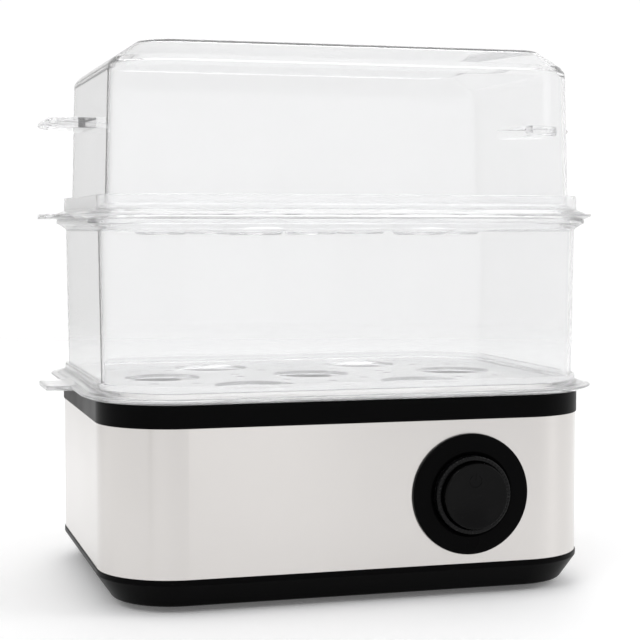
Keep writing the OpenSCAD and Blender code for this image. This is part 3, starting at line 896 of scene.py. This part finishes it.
def world():
    """An even white studio that is a little darker in front, so that clear edges show."""
    made = bpy.data.worlds.new("studio")
    SCENE.world = made
    made.use_nodes = True
    nodes = made.node_tree
    background = nodes.nodes["Background"]
    coordinates = nodes.nodes.new("ShaderNodeTexCoord")
    split = nodes.nodes.new("ShaderNodeSeparateXYZ")
    nodes.links.new(coordinates.outputs["Generated"], split.inputs["Vector"])
    depth = spread(nodes, split.outputs["Y"], 0, 1, -0.6, 0.5)
    tone = tones(nodes, depth, (0.80, 0.80, 0.81), (0.95, 0.95, 0.95), 0, 1)
    tone = dark_strip(nodes, tone, split, -0.70, -0.71, 0.022, 0.8)
    tone = dark_strip(nodes, tone, split, -0.40, 0.92, 0.25, 0.4)
    tone = dark_strip(nodes, tone, split, -0.31, 0.95, 0.02, 0.5)
    path = nodes.nodes.new("ShaderNodeLightPath")
    seen = nodes.nodes.new("ShaderNodeMix")
    seen.data_type = "RGBA"
    nodes.links.new(path.outputs["Is Camera Ray"], seen.inputs["Factor"])
    nodes.links.new(tone, seen.inputs[MIX_A])
    seen.inputs[MIX_B].default_value = (1.02, 1.02, 1.02, 1)
    nodes.links.new(seen.outputs[MIX_RESULT], background.inputs["Color"])
    background.inputs["Strength"].default_value = 1.0


def dark_strip(nodes, tone, split, x, y, width, depth):
    """Darkens an upright strip of the surroundings in the direction (x, y), by a share of depth."""
    across = nodes.nodes.new("ShaderNodeVectorMath")
    across.operation = "DOT_PRODUCT"
    across.inputs[1].default_value = (y, -x, 0)
    ahead = nodes.nodes.new("ShaderNodeVectorMath")
    ahead.operation = "DOT_PRODUCT"
    ahead.inputs[1].default_value = (x, y, 0)
    level = nodes.nodes.new("ShaderNodeCombineXYZ")
    for axis in "XY":
        nodes.links.new(split.outputs[axis], level.inputs[axis])
    for dot in (across, ahead):
        nodes.links.new(level.outputs["Vector"], dot.inputs[0])
    offset = nodes.nodes.new("ShaderNodeMath")
    offset.operation = "ABSOLUTE"
    nodes.links.new(across.outputs["Value"], offset.inputs[0])
    near = spread(nodes, offset.outputs["Value"], depth, 0, width, width * 2)
    facing = spread(nodes, ahead.outputs["Value"], 0, 1, 0.2, 0.5)
    share = nodes.nodes.new("ShaderNodeMath")
    share.operation = "MULTIPLY"
    nodes.links.new(near, share.inputs[0])
    nodes.links.new(facing, share.inputs[1])
    mixed = nodes.nodes.new("ShaderNodeMix")
    mixed.data_type = "RGBA"
    nodes.links.new(share.outputs[0], mixed.inputs["Factor"])
    nodes.links.new(tone, mixed.inputs[MIX_A])
    mixed.inputs[MIX_B].default_value = (0.2, 0.19, 0.18, 1)
    return mixed.outputs[MIX_RESULT]


def soft_box(name, place_m, size, power):
    """A lamp with a soft rectangular face that looks at the object."""
    data = bpy.data.lights.new(name, "AREA")
    data.shape = "RECTANGLE"
    data.size, data.size_y = size
    data.energy = power
    lamp = bpy.data.objects.new(name, data)
    SCENE.collection.objects.link(lamp)
    lamp.location = place_m
    aim = Vector((0, 0, 0.12)) - Vector(place_m)
    lamp.rotation_mode = "QUATERNION"
    lamp.rotation_quaternion = aim.to_track_quat("-Z", "Y")


def camera():
    """The camera, at the photograph's viewing angle."""
    azimuth, elevation, distance = math.radians(-16.07), math.radians(3.28), 0.8454
    aim = Vector((0.005, 0, 0.1283))
    back = Vector((
        math.sin(azimuth) * math.cos(elevation),
        -math.cos(azimuth) * math.cos(elevation),
        math.sin(elevation),
    ))
    data = bpy.data.cameras.new("camera")
    data.lens, data.sensor_width = 91.92, 36
    data.clip_start, data.clip_end = 0.01, 50
    eye = bpy.data.objects.new("camera", data)
    SCENE.collection.objects.link(eye)
    eye.location = aim + back * distance
    eye.rotation_mode = "QUATERNION"
    eye.rotation_quaternion = (-back).to_track_quat("-Z", "Y")
    SCENE.camera = eye


stage()
world()
soft_box("key", (-0.9, -1.1, 1.5), (0.9, 0.9), 7)
soft_box("fill", (1.3, -0.6, 0.9), (0.5, 1.2), 4)
soft_box("rear", (0.4, 1.4, 1.2), (1.0, 0.6), 5)
soft_box("front", (0.27, -1.48, 0.134), (0.25, 0.25), 0.12)
camera()
SCENE.view_settings.view_transform = "Standard"
SCENE.cycles.max_bounces = 24
SCENE.cycles.transmission_bounces = 24
SCENE.cycles.transparent_max_bounces = 24
